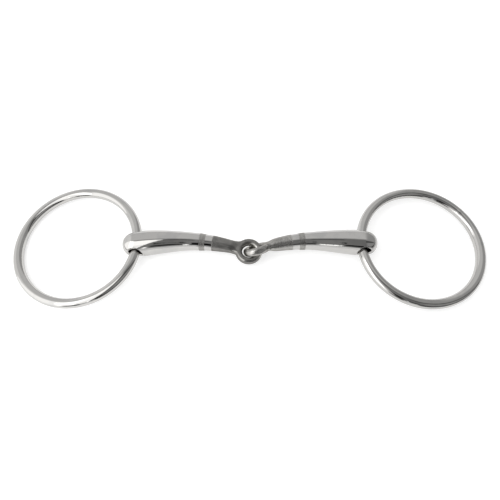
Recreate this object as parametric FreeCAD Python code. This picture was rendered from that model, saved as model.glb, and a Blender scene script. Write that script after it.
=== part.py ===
"""Single-jointed loose ring snaffle bit, lying flat as on a table. Millimetres, +Z up, table at z = 0.

X runs along the mouthpiece, the left ring at -X, and the joint lies a little towards -Y. The origin is below the middle
of the two rings. Each half of the mouthpiece is a polished cannon, a satin band and a polished collar threaded on the
stem of a satin link, and the two links hook into each other by their eyes: the left eye lies flat, the right one
stands up and leans towards -Y. A round wire ring runs through the cross hole at each cannon's outer end.
"""

import FreeCAD, Part

import math
import os

V = FreeCAD.Vector
UP = V(0, 0, 1)
UNIT_CIRCLE = Part.makeCircle(1.0)

# driving dimensions
MOUTH_WIDTH = 135.0  # between the two rings' wires
RING_INNER_D = 70.0
WIRE_D = 6.2
HOLE_D = 8.8  # cross hole for the ring wire
HOLE_ROUND = 1.1  # rounding of the hole's two mouths
END_D = 16.2  # thickness of the mouthpiece beside the rings
DOME_LEAD = 1.0  # the dome starts this far before the ring hole's axis
DOME_LEN = 9.8
DOME_POWER = 0.9  # below 1, the dome is blunter than an ellipse
TAPER_POWER = 1.35  # how late the cannon swells towards the ring

EYE_OUTER_D = 16.6
EYE_BORE_D = 9.2
EYE_THICK = 4.8
NECK_D = 8.1  # thinnest place of the link, behind its eye
NECK_FLARE = 10.0  # radius of the curve from the neck into the eye
SLIM_FROM = 13.5  # station where the link starts to slim down to the eye's thickness
SLIM_TO = 6.4
SHANK_ROOT = 5.0  # the shank starts here, buried in the eye
SHANK_ROOT_W = 11.4
SHANK_ROOT_THICK = 4.2

LINK_END_D = 9.8
COLLAR_LEN = 4.6
COLLAR_END_D = 10.4
BAND_LEN = 3.5
BAND_END_D = 11.0
SEAM_BREAK = 0.06  # edge break where two pieces of a half meet
STEM_D = 6.0
STEM_GAP = 0.02  # radial gap between the stem and what is threaded on it
STEM_ROOT = 2.0  # how far the stem reaches back into its link
STEM_IN_CANNON = 12.0

# how many outlines or points shape each curved stretch
FLARE_SECTIONS = 6
SHANK_SECTIONS = 6
SLEEVE_SECTIONS = 3
CANNON_SECTIONS = 12
DOME_POINTS = 9

AXIS_Z = END_D / 2
RING_R = (RING_INNER_D + WIRE_D) / 2
RING_CREST_X = (MOUTH_WIDTH + WIRE_D) / 2  # middle of the bit to the wire's middle, where it crosses the cannon
EYE_MEAN_R = (EYE_OUTER_D + EYE_BORE_D) / 4
EYE_WIRE_W = (EYE_OUTER_D - EYE_BORE_D) / 2
FLARE_AT = math.sqrt((EYE_OUTER_D / 2 + NECK_FLARE) ** 2 - (NECK_D / 2 + NECK_FLARE) ** 2)


class Half:
    """One half of the mouthpiece, placed by stations: distances along its centreline from its eye's centre.

    In plan the centreline is two arcs that meet at a crest, the flatter one towards the ring.
    """

    def __init__(self, name, side, eye_x, hole_x, link_end, eye_roll, crest, inner_bend, outer_bend):
        self.name = name
        self.side = side
        self.eye_roll = math.radians(eye_roll)  # from lying flat, about the centreline
        self.crest_x, self.crest_y = crest
        self.inner_bend = inner_bend
        self.outer_bend = outer_bend
        self.crest_at = inner_bend * math.asin((self.crest_x - eye_x) / inner_bend)
        self.hole_at = self.crest_at + outer_bend * math.asin((hole_x - self.crest_x) / outer_bend)
        self.dome_at = self.hole_at - DOME_LEAD
        self.link_end = link_end
        self.collar_end = link_end + COLLAR_LEN
        self.band_end = self.collar_end + BAND_LEN
        self.stem_at = (self.collar_end + self.band_end) / 2

    def frame(self, station):
        """Returns the point on the centreline, the outward direction and the sideways direction."""
        bend = self.inner_bend if station < self.crest_at else self.outer_bend
        angle = (self.crest_at - station) / bend
        x = self.crest_x - bend * math.sin(angle)
        y = self.crest_y - bend * (1 - math.cos(angle))
        outward = V(self.side * math.cos(angle), math.sin(angle), 0)
        return V(self.side * x, y, AXIS_Z), outward, UP.cross(outward)

    def placed(self, shape, station):
        """Moves a shape drawn about the origin, with X outward and Z up, to a station."""
        p, x, y = self.frame(station)
        matrix = FreeCAD.Matrix(x.x, y.x, 0, p.x, x.y, y.y, 0, p.y, 0, 0, 1, p.z, 0, 0, 0, 1)
        moved = shape.copy()
        moved.Placement = FreeCAD.Placement(matrix).multiply(shape.Placement)
        return moved

    def radius(self, station):
        """Radius of the mouthpiece from the neck to the dome: a taper that levels off at its end."""
        marks = [
            (FLARE_AT, NECK_D),
            (self.link_end, LINK_END_D),
            (self.collar_end, COLLAR_END_D),
            (self.band_end, BAND_END_D),
        ]
        for (start, thin), (end, thick) in zip(marks, marks[1:]):
            if station <= end:
                return (thin + (thick - thin) * (station - start) / (end - start)) / 2
        share = (station - self.band_end) / (self.dome_at - self.band_end)
        swell = math.sin(math.pi / 2 * share ** TAPER_POWER)
        return (BAND_END_D + (END_D - BAND_END_D) * swell) / 2


LEFT = Half("left", -1, 0.1, 70.5, 23.4, 0, crest=(41.5, 1.75), inner_bend=126.0, outer_bend=195.0)
RIGHT = Half("right", 1, 5.5, 71.5, 21.8, 123, crest=(41.5, 2.1), inner_bend=112.0, outer_bend=315.0)


def spread(start, end, count):
    """Evenly spaced numbers from start to end."""
    return [start + (end - start) * i / (count - 1) for i in range(count)]


def barrel(half, start, end, sections):
    """Round tapering solid that follows the half's centreline."""
    wires = []
    for station in spread(start, end, sections):
        centre, outward, _ = half.frame(station)
        wires.append(Part.Wire(Part.makeCircle(half.radius(station), centre, outward)))
    return Part.makeLoft(wires, True)


def is_rim(edge, centre, normal, radius):
    """True for an edge that runs along the given circle."""
    for point in edge.discretize(5):
        spoke = point - centre
        if abs(spoke.dot(normal)) > 1e-3 or abs(spoke.Length - radius) > 1e-2:
            return False
    return True


def seam_broken(shape, half, stations):
    """Breaks the outer rims that lie in the planes of the given stations."""
    rims = []
    for station in stations:
        centre, outward, _ = half.frame(station)
        rims += [e for e in shape.Edges if is_rim(e, centre, outward, half.radius(station))]
    return shape.makeChamfer(SEAM_BREAK, rims)


def stem_bar(half, radius):
    """Straight round bar through band and collar, from inside the link to the bottom of the cannon's socket."""
    back = half.stem_at - half.link_end + STEM_ROOT
    ahead = half.band_end - half.stem_at + STEM_IN_CANNON
    bar = Part.makeCylinder(radius, back + ahead, V(-back, 0, 0), V(1, 0, 0))
    return half.placed(bar, half.stem_at)


def oval(centre, wide_way, wide, thick_way, thick):
    """Elliptical outline from its centre, its two directions and its two half-widths."""
    w = wide_way * wide
    t = thick_way * thick
    n = w.cross(t)
    matrix = FreeCAD.Matrix(
        w.x, t.x, n.x, centre.x, w.y, t.y, n.y, centre.y, w.z, t.z, n.z, centre.z, 0, 0, 0, 1
    )
    return Part.Wire(UNIT_CIRCLE.transformGeometry(matrix).Edges)


def eye_ring(roll):
    """Eye about the origin, turned about the X axis from lying flat: an oval wire bent to a ring."""
    wire = oval(V(-EYE_MEAN_R, 0, 0), UP, EYE_THICK / 2, V(1, 0, 0), EYE_WIRE_W / 2)
    eye = Part.Face(wire).revolve(V(), UP, 360)
    eye.rotate(V(), V(1, 0, 0), math.degrees(roll))
    return eye


def shank_section(half, station):
    """Outline across the link: round at its thick end, widened and flattened where it runs into the eye."""
    if station > FLARE_AT:
        wide = half.radius(station)
    else:
        wide = NECK_D / 2 + NECK_FLARE - math.sqrt(NECK_FLARE ** 2 - (FLARE_AT - station) ** 2)
        wide = min(wide, SHANK_ROOT_W / 2)
    slim = min(1.0, max(0.0, (SLIM_FROM - station) / (SLIM_FROM - SLIM_TO)))
    slim = slim * slim * (3 - 2 * slim)
    full = half.radius(max(station, FLARE_AT))
    thin = EYE_THICK / 2
    if station < EYE_MEAN_R:
        thin = SHANK_ROOT_THICK / 2
    thick = full + (thin - full) * slim
    centre, _, sideways = half.frame(station)
    wide_way = sideways * math.cos(half.eye_roll) + UP * math.sin(half.eye_roll)
    thick_way = UP * math.cos(half.eye_roll) - sideways * math.sin(half.eye_roll)
    return oval(centre, wide_way, wide, thick_way, thick)


def link(half):
    """Satin link: eye, shank and stem in one piece."""
    stations = spread(SHANK_ROOT, FLARE_AT, FLARE_SECTIONS)
    stations += spread(FLARE_AT, half.link_end, SHANK_SECTIONS)[1:]
    shank = Part.makeLoft([shank_section(half, s) for s in stations], True)
    shank = seam_broken(shank, half, [half.link_end])
    shank = shank.fuse(stem_bar(half, STEM_D / 2))
    return shank.fuse(half.placed(eye_ring(half.eye_roll), 0))


def threaded(half, start, end):
    """Short round piece on the stem, between two stations."""
    piece = barrel(half, start, end, SLEEVE_SECTIONS)
    piece = seam_broken(piece, half, [start, end])
    return piece.cut(stem_bar(half, STEM_D / 2 + STEM_GAP))


def dome():
    """Rounded outer end of a cannon, about the X axis and out from the origin."""
    r = END_D / 2
    points = []
    for turn in spread(0, math.pi / 2, DOME_POINTS):
        reach = DOME_LEN * math.sin(turn) ** DOME_POWER
        points.append(V(reach, 0, r * max(0.0, math.cos(turn)) ** DOME_POWER))
    bulge = Part.BSplineCurve()
    bulge.interpolate(points, InitialTangent=V(1, 0, 0), FinalTangent=V(0, 0, -1))
    outline = Part.Wire([
        Part.makeLine(V(), points[0]),
        bulge.toShape(),
        Part.makeLine(points[-1], V()),
    ])
    return Part.Face(outline).revolve(V(), V(1, 0, 0), 360)


def cannon(half):
    """Polished outer part of a half, with the socket for the link's stem and the rounded cross hole for the ring."""
    body = barrel(half, half.band_end, half.dome_at, CANNON_SECTIONS)
    body = seam_broken(body, half, [half.band_end])
    body = body.fuse(half.placed(dome(), half.dome_at))
    body = body.cut(stem_bar(half, STEM_D / 2 + STEM_GAP))
    start = half.frame(half.hole_at)[0] - V(0, END_D, 0)
    body = body.cut(Part.makeCylinder(HOLE_D / 2, 2 * END_D, start, V(0, 1, 0)))
    mouths = [e for e in body.Edges if is_hole_mouth(e, start)]
    return body.makeFillet(HOLE_ROUND, mouths)


def is_hole_mouth(edge, axis_point):
    """True for an edge that winds round the ring hole at the cannon's skin."""
    if edge.Length < math.pi * HOLE_D / 3:
        return False
    for point in edge.discretize(9):
        if abs(math.hypot(point.x - axis_point.x, point.z - axis_point.z) - HOLE_D / 2) > 0.01:
            return False
    return True


def ring(half):
    """Wire ring through the cross hole, sloping down from it until its far side rests on the table."""
    r = WIRE_D / 2
    slope = math.asin((AXIS_Z - r) / (2 * RING_R))
    wire = Part.makeTorus(RING_R, r, V(RING_R, 0, 0))
    wire.rotate(V(), V(0, 1, 0), math.degrees(slope))
    wire.translate(V(RING_CREST_X, 0, AXIS_Z))
    return wire if half.side > 0 else wire.rotated(V(), V(0, 0, 1), 180)


def main():
    os.makedirs("parts", exist_ok=True)
    for half in (LEFT, RIGHT):
        pieces = {
            "link": link(half),
            "collar": threaded(half, half.link_end, half.collar_end),
            "satin_band": threaded(half, half.collar_end, half.band_end),
            "cannon": cannon(half),
            "ring": ring(half),
        }
        for name, shape in pieces.items():
            shape.exportStep(f"parts/{name}_{half.name}.step")


main()
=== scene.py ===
"""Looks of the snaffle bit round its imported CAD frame: polished and satin steel on a pale table.

The links and the rings are remade here as smooth meshes over the CAD solids, in metres. Round
their eyes, the links differ from the CAD's by up to 0.9 mm, which the look of the joint asked for.
"""

import math

import bmesh
import bpy
from mathutils import Matrix, Vector


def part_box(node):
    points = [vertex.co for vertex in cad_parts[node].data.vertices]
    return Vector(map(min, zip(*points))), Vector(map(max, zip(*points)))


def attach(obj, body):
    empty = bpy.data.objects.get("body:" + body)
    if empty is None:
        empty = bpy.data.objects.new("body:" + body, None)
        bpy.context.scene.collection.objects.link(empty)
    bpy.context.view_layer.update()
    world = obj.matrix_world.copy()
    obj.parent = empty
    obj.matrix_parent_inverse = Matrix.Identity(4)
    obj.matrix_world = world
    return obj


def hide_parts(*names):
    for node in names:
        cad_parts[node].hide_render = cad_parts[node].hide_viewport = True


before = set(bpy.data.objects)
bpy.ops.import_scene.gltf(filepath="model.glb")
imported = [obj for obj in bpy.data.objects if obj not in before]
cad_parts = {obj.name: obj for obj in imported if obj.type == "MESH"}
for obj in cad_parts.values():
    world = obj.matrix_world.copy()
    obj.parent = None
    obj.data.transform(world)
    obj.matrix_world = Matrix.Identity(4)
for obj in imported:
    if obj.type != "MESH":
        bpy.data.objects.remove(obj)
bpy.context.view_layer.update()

MM = 0.001
UP = Vector((0, 0, 1))
AXIS_Z = 8.1 * MM  # height of the mouthpiece's centreline above the table

# camera
LENS_MM = 29.63
SENSOR_MM = 36
SHIFT_X = 0.002
CLIP_START = 0.01
LOOK_AT = Vector((0, -0.0042, 0.0081))
ELEVATION = math.radians(66.65)
YAW = math.radians(-0.74)
ROLL = math.radians(-0.59)
DISTANCE = 0.2567

# link
EYE_OUTER_R = 8.3 * MM
EYE_THIN = 4.6 * MM  # thickness of the eye at its tip
EYE_THICK = 5.1 * MM  # and where the shank leaves it
WIRE_POWER = 2.6  # of the eye's section: 2 would be an ellipse, and more is squarer
NECK_R = 4.05 * MM
NECK_AT = 11.7 * MM  # station of the neck, where the shank starts to flare towards the eye
NECK_FLARE = 10.0 * MM  # radius of that flare
SLIM_LEN = 4.2 * MM  # from the neck, the shank slims to the eye's thickness over this length
ROOT_STATIONS = (9.3 * MM, 10.6 * MM, 12.3 * MM)  # outlines of the shank from the eye past the neck
TAPER_SHARES = (0.3, 0.55, 0.78, 0.95)  # and from the neck to the link's end, as shares of the way
LINK_END_R = 4.9 * MM
END_BREAK = 0.06 * MM  # rounding of the end's edge, and of the corner where the stem leaves it
END_FLAT_R = 4.6 * MM  # the end is flat inside this radius
STEM_R = 3.0 * MM
STEM_TIP_R = 2.79 * MM
STEM_TIP_LEN = 0.3 * MM
STEM_MIDDLE = 6.4 * MM  # the straight stem has the centreline's direction this far past the end
STEM_LEN = 20.0 * MM

# ring
WIRE_R = 3.1 * MM
WELD_PROUD = 0.05 * MM
WELD_LEN = 0.9 * MM
DRESSED_DEPTH = 0.02 * MM  # of the dips that filing left on both sides of the weld
DRESSED_AT = 2.2 * MM
DRESSED_LEN = 0.8 * MM

# mesh density
EYE_TURNS = 24
WIRE_POINTS = 12
SHANK_POINTS = 16
SMOOTH_LEVELS = 3
RING_TURNS = 360
RING_POINTS = 40

# polished steel
POLISHED = (0.51, 0.502, 0.488)
SMEARED = (0.465, 0.46, 0.452)
MIRROR_ROUGHNESS = 0.03
SMEAR_ROUGHNESS = 0.035  # smears and scratches add theirs to the mirror's
SCRATCH_ROUGHNESS = 0.03
SCRATCH_DEPTH = 0.0002 * MM
WAVE_LEN = 3.2 * MM
WAVE_DEPTH = 0.004 * MM
SMEAR_LEVELS = (0.48, 0.68)  # noise fades in from the first level to the second
HAIR_LEVELS = (0.56, 0.7)
CROSS_LEVELS = (0.6, 0.74)

# satin steel, with a dark and a light shade for the bands and for each link; the left link's pair
# is darkened as painted shade and the right link's pair lightened as painted light
BAND_SHADES = ((0.28, 0.273, 0.26), (0.36, 0.355, 0.34))
LEFT_SHADES_PAINTED_DARK = ((0.18, 0.176, 0.168), (0.24, 0.235, 0.225))
RIGHT_SHADES_PAINTED_BRIGHT = ((0.31, 0.304, 0.292), (0.42, 0.411, 0.394))
SATIN_EDGE = (0.5, 0.49, 0.47, 1)  # holds down how bright it gets where it is seen edge on
MOTTLE_LEVELS = (0.35, 0.65)
BLASTED_ROUGHNESS = 0.2
GRAIN_ROUGHNESS = 0.14  # the grain adds this to the blasted one
GRAIN_SIZE = 0.16 * MM
GRAIN_DEPTH = 0.011 * MM
# burnished contact wear, its base colour lifted past polished steel's as a painted highlight
BURNISHED_AND_HIGHLIGHT = (0.78, 0.77, 0.73)
BURNISHED_ROUGHNESS = 0.24
BURNISHED_AND_HIGHLIGHT_REACH = 6.0 * MM  # from the place where the other eye pulls
BURNISHED_AND_HIGHLIGHT_CORE = 0.45  # share of the reach that is burnished and painted bright in full
RIM_WANDER = 0.8 * MM  # how much the mottling shifts the rim of the burnished, painted bright zone
OUT_OF_REACH = (0, 0, 1)  # for steel that isn't burnished or painted bright anywhere

# table and lamps
TABLE_HALF = 3.0
TABLE_GREY = 0.6
TABLE_GLOW = 0.56
TABLE_ROUGHNESS = 0.9
TABLE_GLOSS = 0.1
REFLECTOR_WIDE = 0.2
REFLECTOR_TALL = 0.3
REFLECTOR_AWAY = 0.22  # from the mouthpiece's centreline
REFLECTOR_RISE = math.radians(56)
REFLECTOR_EDGE_X = -0.074  # of its right edge, before the tilt
REFLECTOR_TILT = math.radians(-8)
REFLECTOR_GLOW = 1.6
LAMP_SIZE = 1.5
LAMP_HEIGHT = 1.2
LAMP_GLOW = 0.8

# Studio that the steel mirrors, as brightness by direction. A place across it is the direction's
# x, from -1 at the left to 1 at the right. A place up it is the rise: degrees above the front
# horizon, on over the zenith at 90 to the back. A seam is where one brightness turns into another.
WARP_SCALE = 8.0
WARP = 0.05  # how far noise shifts a direction
FRONT_SEAM, FRONT_RIGHT, FRONT_LEFT = (0.08, -0.08), 0.24, 0.32
FAR_LEFT_SEAM, FRONT_FAR_LEFT = (-0.25, -0.4), 0.85
BACK_SEAM, BACK = (88, 103), 0.81
SIDES_BACK_SEAM = (92, 104)
RIGHT_SEAM, RIGHT_FRONT, RIGHT_BACK = (0.25, 0.5), 0.42, 0.48
LEFT_SEAM, LEFT_FRONT, LEFT_BACK = (-0.48, -0.6), 1.8, 1.1
COVE_SEAM, COVE_MIDDLE, COVE_SIDES = (0.14, 0.22), 1.0, 0.02
COVE_TOP = (19, 13)
BACKDROP = 1.0
PATCH_RIM_ACROSS = 0.02
PATCH_RIM_UP = 4
# dark and bright things in front of the bit: left, right, bottom and top edge, brightness
PATCHES = [
    (-0.07, 0.04, 77, 88, 0.1),
    (0.3, 1.1, 66, 85, 0.1),
    (-0.34, -0.06, 22, 54, 0.004),
    (-0.02, 0.025, 44, 60, 0.01),
    (-0.01, 0.26, 24, 39, 0.004),
    (0.26, 1.1, 20, 30, 0.006),
    (-0.05, -0.005, 16, 31, 2.2),
]


def add_camera():
    """Camera above and in front of the bit, looking down at it."""
    look = Vector((
        math.sin(YAW) * math.cos(ELEVATION),
        math.cos(YAW) * math.cos(ELEVATION),
        -math.sin(ELEVATION),
    ))
    level = Vector((math.cos(YAW), -math.sin(YAW), 0))
    up = level.cross(look)
    right = level * math.cos(ROLL) + up * math.sin(ROLL)
    up = up * math.cos(ROLL) - level * math.sin(ROLL)
    turned = Matrix((right, up, -look)).transposed()
    camera = bpy.data.objects.new("camera", bpy.data.cameras.new("camera"))
    camera.matrix_world = Matrix.Translation(LOOK_AT - look * DISTANCE) @ turned.to_4x4()
    camera.data.lens = LENS_MM
    camera.data.sensor_width = SENSOR_MM
    camera.data.shift_x = SHIFT_X
    camera.data.clip_start = CLIP_START
    bpy.context.scene.collection.objects.link(camera)
    bpy.context.scene.camera = camera


class Graph:
    """Shorthand for building a node tree."""

    def __init__(self, owner):
        owner.use_nodes = True
        self.tree = owner.node_tree

    def node(self, kind, inputs=(), **settings):
        """Adds a node. Its inputs go by number or name, and each is a value or a socket."""
        made = self.tree.nodes.new(kind)
        for key, value in settings.items():
            setattr(made, key, value)
        for socket, value in dict(inputs).items():
            self.feed(made.inputs[socket], value)
        return made

    def feed(self, socket, value):
        """Sets an input to a value, or links it to a socket."""
        if isinstance(value, bpy.types.NodeSocket):
            self.tree.links.new(value, socket)
        else:
            socket.default_value = value

    def ramp(self, value, start, end):
        """Smooth step of a value from 0 at start to 1 at end, which may be the lower of the two."""
        inputs = {0: value, 1: start, 2: end, 3: 0.0, 4: 1.0}
        return self.node("ShaderNodeMapRange", inputs, interpolation_type="SMOOTHSTEP").outputs[0]

    def math(self, operation, *values):
        """Does one operation of arithmetic on numbers or sockets."""
        return self.node("ShaderNodeMath", dict(enumerate(values)), operation=operation).outputs[0]

    def blend(self, share, low, high):
        """Mixes two numbers by a share from 0 to 1."""
        return self.node("ShaderNodeMix", {0: share, 2: low, 3: high}, data_type="FLOAT").outputs[0]

    def tint(self, share, low, high):
        """Mixes two colours, each a socket or three numbers, by a share from 0 to 1."""
        low, high = (
            colour if isinstance(colour, bpy.types.NodeSocket) else (*colour, 1)
            for colour in (low, high)
        )
        return self.node("ShaderNodeMix", {0: share, 6: low, 7: high}, data_type="RGBA").outputs[2]

    def patch(self, x, rise, left, right, bottom, top):
        """1 inside a patch of the studio and 0 outside, with a soft rim."""
        from_left = self.ramp(x, left, left + PATCH_RIM_ACROSS)
        from_right = self.ramp(x, right, right - PATCH_RIM_ACROSS)
        from_bottom = self.ramp(rise, bottom, bottom + PATCH_RIM_UP)
        from_top = self.ramp(rise, top, top - PATCH_RIM_UP)
        across = self.math("MULTIPLY", from_left, from_right)
        return self.math("MULTIPLY", across, self.math("MULTIPLY", from_bottom, from_top))

    def noise(self, where, size, detail=2.0, roughness=0.5, stretch=(1, 1, 1)):
        """Noise whose blobs are about the given size in metres."""
        inputs = {0: where, 1: stretch}
        scaled = self.node("ShaderNodeVectorMath", inputs, operation="MULTIPLY").outputs[0]
        inputs = {"Vector": scaled, "Scale": 1 / size, "Detail": detail, "Roughness": roughness}
        return self.node("ShaderNodeTexNoise", inputs).outputs["Fac"]

    def bump(self, height, depth, under=None):
        """Raises the surface by a height from 0 to 1, times a depth in metres."""
        made = self.node("ShaderNodeBump", {"Height": height, "Distance": depth, "Strength": 1.0})
        if under:
            self.feed(made.inputs["Normal"], under)
        return made.outputs[0]


def steel_base(name):
    """Bare metal, as the material, its graph, its shader and the coordinates on the piece."""
    material = bpy.data.materials.new(name)
    graph = Graph(material)
    shader = material.node_tree.nodes["Principled BSDF"]
    shader.inputs["Metallic"].default_value = 1
    where = graph.node("ShaderNodeTexCoord").outputs["Object"]
    return material, graph, shader, where


def polished_steel():
    """Mirror polish: faint waves from the buffing wheel, hairline scratches and dull smears."""
    material, graph, shader, where = steel_base("polished_steel")
    smears = graph.ramp(graph.noise(where, size=9 * MM, detail=3), *SMEAR_LEVELS)
    hairs = graph.noise(where, size=0.22 * MM, detail=2, roughness=0.6, stretch=(0.12, 1, 1))
    hairs = graph.ramp(hairs, *HAIR_LEVELS)
    cross = graph.noise(where, size=0.25 * MM, detail=2, roughness=0.6, stretch=(1, 0.12, 0.4))
    cross = graph.ramp(cross, *CROSS_LEVELS)
    scratches = graph.math("MAXIMUM", hairs, cross)
    graph.feed(shader.inputs["Base Color"], graph.tint(smears, POLISHED, SMEARED))
    smeared = graph.math("MULTIPLY", smears, SMEAR_ROUGHNESS)
    scratched = graph.math("MULTIPLY", scratches, SCRATCH_ROUGHNESS)
    dull = graph.math("ADD", smeared, scratched)
    graph.feed(shader.inputs["Roughness"], graph.math("ADD", dull, MIRROR_ROUGHNESS))
    wavy = graph.bump(graph.noise(where, size=WAVE_LEN, detail=1), WAVE_DEPTH)
    graph.feed(shader.inputs["Normal"], graph.bump(scratches, SCRATCH_DEPTH, wavy))
    return material


def satin_steel(name, shades, rubbed_and_highlight_at=OUT_OF_REACH):
    """Bead blasted steel with fine grain, mottled between two shades, burnished round one place and
    painted brighter there as a highlight.
    """
    material, graph, shader, where = steel_base(name)
    mottle = graph.noise(where, size=2.6 * MM, detail=4, roughness=0.6)
    mottle = graph.ramp(mottle, *MOTTLE_LEVELS)
    grain = graph.noise(where, size=GRAIN_SIZE, detail=3, roughness=0.6)
    away = graph.node("ShaderNodeVectorMath", {0: where, 1: rubbed_and_highlight_at}, operation="DISTANCE")
    away = graph.math("ADD", away.outputs["Value"], graph.math("MULTIPLY", mottle, RIM_WANDER))
    # burnished wear plus painted highlight: the base colour turns bright near the tip's inside
    rubbed_and_highlit = graph.ramp(away, BURNISHED_AND_HIGHLIGHT_REACH, BURNISHED_AND_HIGHLIGHT_CORE * BURNISHED_AND_HIGHLIGHT_REACH)
    blasted = graph.tint(mottle, *shades)
    graph.feed(shader.inputs["Base Color"], graph.tint(rubbed_and_highlit, blasted, BURNISHED_AND_HIGHLIGHT))
    dull = graph.math("ADD", graph.math("MULTIPLY", grain, GRAIN_ROUGHNESS), BLASTED_ROUGHNESS)
    graph.feed(shader.inputs["Roughness"], graph.blend(rubbed_and_highlit, dull, BURNISHED_ROUGHNESS))
    shader.inputs["Specular Tint"].default_value = SATIN_EDGE
    graph.feed(shader.inputs["Normal"], graph.bump(grain, GRAIN_DEPTH))
    return material


def smooth_object(name, mesh, material, body, node):
    """Puts a finished mesh in the scene in place of a CAD node."""
    for face in mesh.faces:
        face.smooth = True
    data = bpy.data.meshes.new(name)
    mesh.to_mesh(data)
    mesh.free()
    piece = bpy.data.objects.new(name, data)
    bpy.context.scene.collection.objects.link(piece)
    data.materials.append(material)
    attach(piece, body)
    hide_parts(node)
    return piece


def grown(count):
    """How much larger a control polygon is than the smooth circle that it subdivides to."""
    return 3 / (2 + math.cos(math.tau / count))


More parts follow.
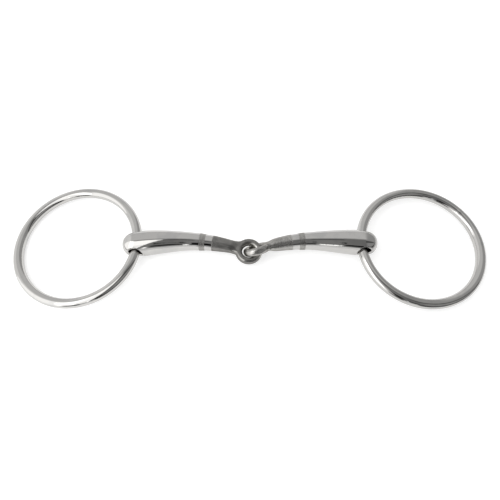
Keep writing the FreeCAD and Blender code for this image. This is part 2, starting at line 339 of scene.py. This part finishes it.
class Link:
    """A satin link: an eye, a shank that flares into it, and the hidden stem.

    The centreline is an arc in plan with its crest beyond the link. Stations run along it from
    the eye's centre. The arguments are in mm and degrees.
    """

    def __init__(self, name, side, eye_x, crest, bend, roll, end, bore, shades):
        self.name = name
        self.side = side
        self.crest = Vector(crest) * MM
        self.bend = bend * MM
        self.roll = math.radians(roll)
        self.end = end * MM
        self.bore = bore * MM
        self.shades = shades
        self.crest_at = self.bend * math.asin((self.crest.x - eye_x * MM) / self.bend)
        self.mesh = bmesh.new()

    def arc(self, station):
        """Point of the centreline, and the directions outward along it and level across it."""
        angle = (self.crest_at - station) / self.bend
        x = self.crest.x - self.bend * math.sin(angle)
        y = self.crest.y - self.bend * (1 - math.cos(angle))
        outward = Vector((self.side * math.cos(angle), math.sin(angle), 0))
        return Vector((self.side * x, y, AXIS_Z)), outward, UP.cross(outward)

    def axes(self, station):
        """Point of the centreline, and the outward, wide and thick directions of the link."""
        centre, outward, sideways = self.arc(station)
        wide = sideways * math.cos(self.roll) + UP * math.sin(self.roll)
        thick = UP * math.cos(self.roll) - sideways * math.sin(self.roll)
        return centre, outward, wide, thick

    def section(self, centre, wide, thick):
        """Closed outline of shank points from the two half-width vectors."""
        grow = grown(SHANK_POINTS)
        made = []
        for i in range(SHANK_POINTS):
            turn = math.tau * i / SHANK_POINTS
            spoke = wide * math.cos(turn) + thick * math.sin(turn)
            made.append(self.mesh.verts.new(centre + spoke * grow))
        return made

    def carry_on(self, rim, centre, wide, thick):
        """Adds an outline, skins the gap between the rim and it, and returns it as the new rim."""
        outline = self.section(centre, wide, thick)
        for i in range(SHANK_POINTS):
            k = (i + 1) % SHANK_POINTS
            self.mesh.faces.new((rim[i], rim[k], outline[k], outline[i]))
        return outline

    def eye_point(self, i, j):
        """Point of the eye: i counts round it from the shank, j round its wire from the outside."""
        centre, outward, wide, thick = self.axes(0)
        turn = math.tau * i / EYE_TURNS
        around = math.tau * j / WIRE_POINTS
        spoke = outward * math.cos(turn) + wide * math.sin(turn)
        width = EYE_OUTER_R - self.bore
        mean = (EYE_OUTER_R - width / 2) * grown(EYE_TURNS)
        height = (EYE_THIN + EYE_THICK) / 2 + (EYE_THICK - EYE_THIN) / 2 * math.cos(turn)
        grow = grown(WIRE_POINTS)
        legs = abs(math.cos(around)) ** WIRE_POWER + abs(math.sin(around)) ** WIRE_POWER
        square = legs ** (-1 / WIRE_POWER)
        reach = mean + width / 2 * math.cos(around) * square * grow
        return centre + spoke * reach + thick * (height / 2 * math.sin(around) * square * grow)

    def add_eye(self):
        """Makes the eye with a window for the shank, and returns the window's rim.

        The rim is in step with the outlines that section makes.
        """
        grid = [
            [self.mesh.verts.new(self.eye_point(i, j)) for j in range(WIRE_POINTS)]
            for i in range(EYE_TURNS)
        ]
        window_turns = (EYE_TURNS - 2, EYE_TURNS - 1, 0, 1)
        window_points = (WIRE_POINTS - 2, WIRE_POINTS - 1, 0, 1)
        for i in range(EYE_TURNS):
            for j in range(WIRE_POINTS):
                if i in window_turns and j in window_points:
                    continue
                k, m = (i + 1) % EYE_TURNS, (j + 1) % WIRE_POINTS
                self.mesh.faces.new((grid[i][j], grid[k][j], grid[k][m], grid[i][m]))
        steps = [(2, 0), (2, 1), (2, 2), (1, 2), (0, 2), (-1, 2), (-2, 2), (-2, 1)]
        steps += [(-i, -j) for i, j in steps]
        return [grid[i][j] for i, j in steps]

    def shank_sizes(self, station):
        """Half-widths of the shank at a station, in its wide and thick directions."""
        share = max(0.0, (station - NECK_AT) / (self.end - NECK_AT))
        radius = NECK_R + (LINK_END_R - NECK_R) * share
        flare = max(0.0, NECK_AT - station)
        wide = radius + NECK_FLARE - math.sqrt(NECK_FLARE ** 2 - flare ** 2)
        slim = min(1.0, flare / SLIM_LEN)
        thick = radius + (EYE_THICK / 2 - radius) * slim
        return wide, thick

    def rubbed_and_highlight_at(self):
        """Middle of the inside of the eye's tip, where the other eye pulls against it and the
        painted highlight centres.
        """
        centre, outward, _, _ = self.axes(0)
        return centre - outward * self.bore

    def build(self):
        """Shapes the link from its eye to the stem's tip and puts it in the scene."""
        rim = self.add_eye()
        stations = list(ROOT_STATIONS)
        stations += [NECK_AT + (self.end - NECK_AT) * share for share in TAPER_SHARES]
        for station in stations + [self.end - END_BREAK]:
            centre, _, wide, thick = self.axes(station)
            half_wide, half_thick = self.shank_sizes(station)
            rim = self.carry_on(rim, centre, wide * half_wide, thick * half_thick)
        centre, _, wide, thick = self.axes(self.end)
        for radius in (LINK_END_R - END_BREAK, END_FLAT_R):
            rim = self.carry_on(rim, centre, wide * radius, thick * radius)
        _, outward, wide, thick = self.axes(self.end + STEM_MIDDLE)
        stem = [(STEM_R, 0), (STEM_R, END_BREAK), (STEM_R, STEM_LEN)]
        stem += [(STEM_TIP_R, STEM_LEN + STEM_TIP_LEN)]
        for radius, far in stem:
            rim = self.carry_on(rim, centre + outward * far, wide * radius, thick * radius)
        self.mesh.faces.new(rim)
        bmesh.ops.recalc_face_normals(self.mesh, faces=self.mesh.faces)
        material = satin_steel(f"satin_{self.name}", self.shades, self.rubbed_and_highlight_at())
        name = f"{self.name}_smooth"
        body = self.name.replace("link", "mouthpiece")
        piece = smooth_object(name, self.mesh, material, body, self.name)
        smoothing = piece.modifiers.new("smooth", "SUBSURF")
        smoothing.levels = SMOOTH_LEVELS
        smoothing.render_levels = SMOOTH_LEVELS


def add_ring(side_name, side, material, weld_turn):
    """Wire ring with a dressed weld that stands a hair proud of the wire."""
    low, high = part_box(f"ring_{side_name}")
    inner_x = low.x if side > 0 else high.x
    outer_x = high.x if side > 0 else low.x
    ring_r = (high.y - low.y) / 2 - WIRE_R
    slope = math.asin((high.z - low.z - 2 * WIRE_R) / (2 * ring_r))
    centre = Vector(((inner_x + outer_x) / 2, (low.y + high.y) / 2, (low.z + high.z) / 2))
    along = Vector((side * math.cos(slope), 0, -math.sin(slope)))
    across = Vector((0, side, 0))
    normal = along.cross(across)
    mesh = bmesh.new()
    grid = []
    for i in range(RING_TURNS):
        turn = math.tau * i / RING_TURNS
        spoke = along * math.cos(turn) + across * math.sin(turn)
        away = abs((turn - weld_turn + math.pi) % math.tau - math.pi) * ring_r
        weld = WELD_PROUD * math.exp(-(away / WELD_LEN) ** 2)
        dip = DRESSED_DEPTH * math.exp(-((away - DRESSED_AT) / DRESSED_LEN) ** 2)
        row = []
        for j in range(RING_POINTS):
            around = math.tau * j / RING_POINTS
            out = spoke * math.cos(around) + normal * math.sin(around)
            row.append(mesh.verts.new(centre + spoke * ring_r + out * (WIRE_R + weld - dip)))
        grid.append(row)
    for i in range(RING_TURNS):
        for j in range(RING_POINTS):
            k, m = (i + 1) % RING_TURNS, (j + 1) % RING_POINTS
            mesh.faces.new((grid[i][j], grid[k][j], grid[k][m], grid[i][m]))
    bmesh.ops.recalc_face_normals(mesh, faces=mesh.faces)
    ring = f"ring_{side_name}"
    smooth_object(f"{ring}_smooth", mesh, material, ring, ring)


def add_floor():
    """Wide pale table that glows enough to come out white."""
    floor = bpy.data.objects.new("floor", bpy.data.meshes.new("floor"))
    corners = [(-TABLE_HALF, -TABLE_HALF, 0), (TABLE_HALF, -TABLE_HALF, 0)]
    corners += [(TABLE_HALF, TABLE_HALF, 0), (-TABLE_HALF, TABLE_HALF, 0)]
    floor.data.from_pydata(corners, [], [(0, 1, 2, 3)])
    bpy.context.scene.collection.objects.link(floor)
    white = bpy.data.materials.new("table")
    white.use_nodes = True
    shader = white.node_tree.nodes["Principled BSDF"]
    shader.inputs["Base Color"].default_value = (TABLE_GREY, TABLE_GREY, TABLE_GREY, 1)
    shader.inputs["Roughness"].default_value = TABLE_ROUGHNESS
    shader.inputs["Specular IOR Level"].default_value = TABLE_GLOSS
    shader.inputs["Emission Color"].default_value = (1, 1, 1, 1)
    shader.inputs["Emission Strength"].default_value = TABLE_GLOW
    floor.data.materials.append(white)


def add_studio():
    """Light tent over a pale cove: dim in front, bright behind and at the left, with patches."""
    world = bpy.data.worlds.new("studio")
    graph = Graph(world)
    way = graph.node("ShaderNodeTexCoord").outputs["Generated"]
    inputs = {"Vector": way, "Scale": WARP_SCALE, "Detail": 2.0}
    noise = graph.node("ShaderNodeTexNoise", inputs).outputs["Color"]
    inputs = {0: noise, 1: (0.5, 0.5, 0.5)}
    shift = graph.node("ShaderNodeVectorMath", inputs, operation="SUBTRACT").outputs[0]
    shift = graph.node("ShaderNodeVectorMath", {0: shift, 3: WARP}, operation="SCALE").outputs[0]
    wavy = graph.node("ShaderNodeVectorMath", {0: way, 1: shift}, operation="ADD").outputs[0]
    x, y, z = graph.node("ShaderNodeSeparateXYZ", {0: wavy}).outputs
    rise = graph.math("ARCTAN2", z, graph.math("MULTIPLY", y, -1.0))
    rise = graph.math("MULTIPLY", rise, math.degrees(1))
    front = graph.blend(graph.ramp(x, *FRONT_SEAM), FRONT_RIGHT, FRONT_LEFT)
    front = graph.blend(graph.ramp(x, *FAR_LEFT_SEAM), front, FRONT_FAR_LEFT)
    grey = graph.blend(graph.ramp(rise, *BACK_SEAM), front, BACK)
    sides_back = graph.ramp(rise, *SIDES_BACK_SEAM)
    right_side = graph.blend(sides_back, RIGHT_FRONT, RIGHT_BACK)
    left_side = graph.blend(sides_back, LEFT_FRONT, LEFT_BACK)
    grey = graph.blend(graph.ramp(x, *RIGHT_SEAM), grey, right_side)
    for left, right, bottom, top, brightness in PATCHES:
        grey = graph.blend(graph.patch(x, rise, left, right, bottom, top), grey, brightness)
    cove = graph.blend(graph.ramp(graph.math("ABSOLUTE", x), *COVE_SEAM), COVE_MIDDLE, COVE_SIDES)
    grey = graph.blend(graph.ramp(rise, *COVE_TOP), grey, cove)
    grey = graph.blend(graph.ramp(x, *LEFT_SEAM), grey, left_side)
    # past the table's edge a camera sees plain white
    seen = graph.node("ShaderNodeLightPath").outputs["Is Camera Ray"]
    grey = graph.blend(seen, grey, BACKDROP)
    graph.feed(world.node_tree.nodes["Background"].inputs["Color"], grey)
    bpy.context.scene.world = world


def add_reflector():
    """Bright sheet up to the left of the camera, out of its sight."""
    sheet = bpy.data.lights.new("reflector", "AREA")
    sheet.shape = "RECTANGLE"
    sheet.size = REFLECTOR_WIDE
    sheet.size_y = REFLECTOR_TALL
    sheet.energy = REFLECTOR_GLOW * math.pi * REFLECTOR_WIDE * REFLECTOR_TALL
    holder = bpy.data.objects.new("reflector", sheet)
    away = Vector((0, -math.cos(REFLECTOR_RISE), math.sin(REFLECTOR_RISE)))
    middle_x = REFLECTOR_EDGE_X - REFLECTOR_WIDE / 2
    place = Vector((middle_x, 0, AXIS_Z)) + away * REFLECTOR_AWAY
    turned = away.to_track_quat("Z", "Y").to_matrix() @ Matrix.Rotation(REFLECTOR_TILT, 3, "Z")
    holder.matrix_world = Matrix.Translation(place) @ turned.to_4x4()
    holder.visible_camera = False
    bpy.context.scene.collection.objects.link(holder)


def add_lamp():
    """Wide soft lamp straight above that lights the table and that the steel doesn't mirror."""
    lamp = bpy.data.lights.new("lamp", "AREA")
    lamp.size = LAMP_SIZE
    lamp.energy = LAMP_GLOW * math.pi * LAMP_SIZE ** 2
    holder = bpy.data.objects.new("lamp", lamp)
    holder.location = (0, 0, LAMP_HEIGHT)
    holder.visible_camera = False
    holder.visible_glossy = False
    bpy.context.scene.collection.objects.link(holder)


add_camera()
polished = polished_steel()
satin = satin_steel("satin_steel", BAND_SHADES)
for name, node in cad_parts.items():
    node.data.materials.clear()
    node.data.materials.append(satin if name.startswith(("link", "satin")) else polished)
# the left link gets the satin darkened as painted shade, the right one lightened as painted light
left_link = Link(
    "link_left", side=-1, eye_x=0.1, crest=(41.5, 1.75), bend=126.0,
    roll=0, end=23.4, bore=4.2, shades=LEFT_SHADES_PAINTED_DARK,
)
right_link = Link(
    "link_right", side=1, eye_x=4.6, crest=(41.5, 2.1), bend=115.0,
    roll=123, end=22.7, bore=4.7, shades=RIGHT_SHADES_PAINTED_BRIGHT,
)
left_link.build()
right_link.build()
add_ring("left", -1, polished, weld_turn=math.radians(200))
add_ring("right", 1, polished, weld_turn=math.radians(40))
add_floor()
add_studio()
add_reflector()
add_lamp()
bpy.context.scene.view_settings.view_transform = "Standard"
